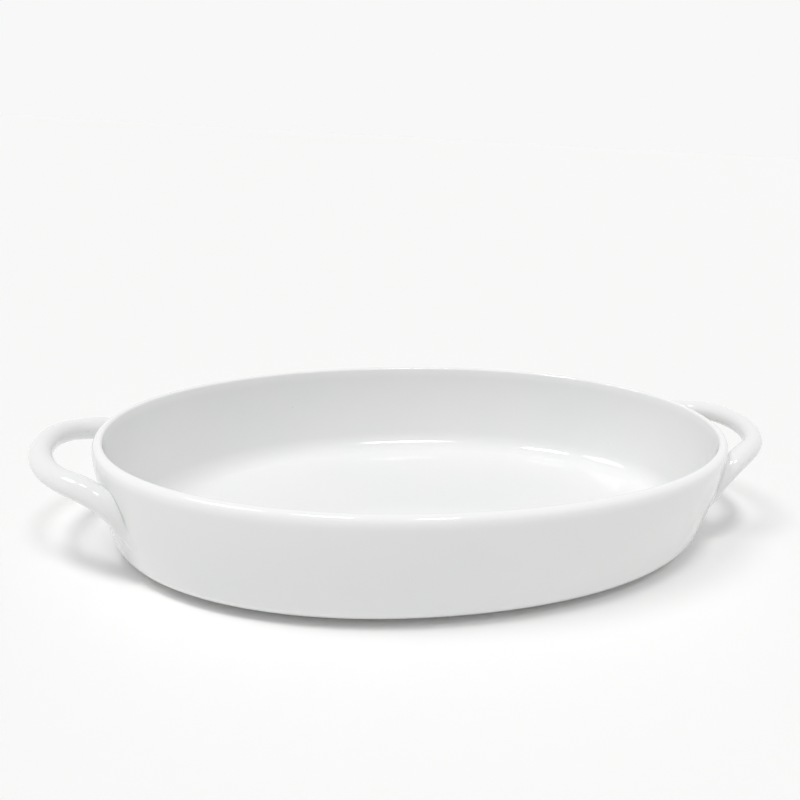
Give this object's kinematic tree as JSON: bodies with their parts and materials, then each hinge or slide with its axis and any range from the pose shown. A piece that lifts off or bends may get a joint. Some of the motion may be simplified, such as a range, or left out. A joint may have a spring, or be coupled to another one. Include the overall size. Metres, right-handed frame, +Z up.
{
  "type": "oval baking dish",
  "caption": "Oval glazed porcelain baking dish with leaning walls, a rounded lip, a low bare foot ring and a loop handle at each end for lifting it in and out of an oven.",
  "frame": {"origin": "on the table, under the middle of the dish", "axes": "+X along the dish towards its right handle, -Y towards its front, +Z up"},
  "size_m": [0.3614, 0.192, 0.0555],
  "materials": {
    "dish_glaze": "clear gloss glaze over white porcelain, bare and matt on the foot ring",
    "handle_glaze": "clear gloss glaze over white porcelain",
    "seam_glaze": "clear gloss glaze pooled over fired slip"
  },
  "bodies": {
    "root": {"dish_body": "dish_glaze", "handle_left": "handle_glaze", "handle_right": "handle_glaze", "slip_seam_left_front": "seam_glaze", "slip_seam_left_rear": "seam_glaze", "slip_seam_right_front": "seam_glaze", "slip_seam_right_rear": "seam_glaze"}
  },
  "joints": []
}
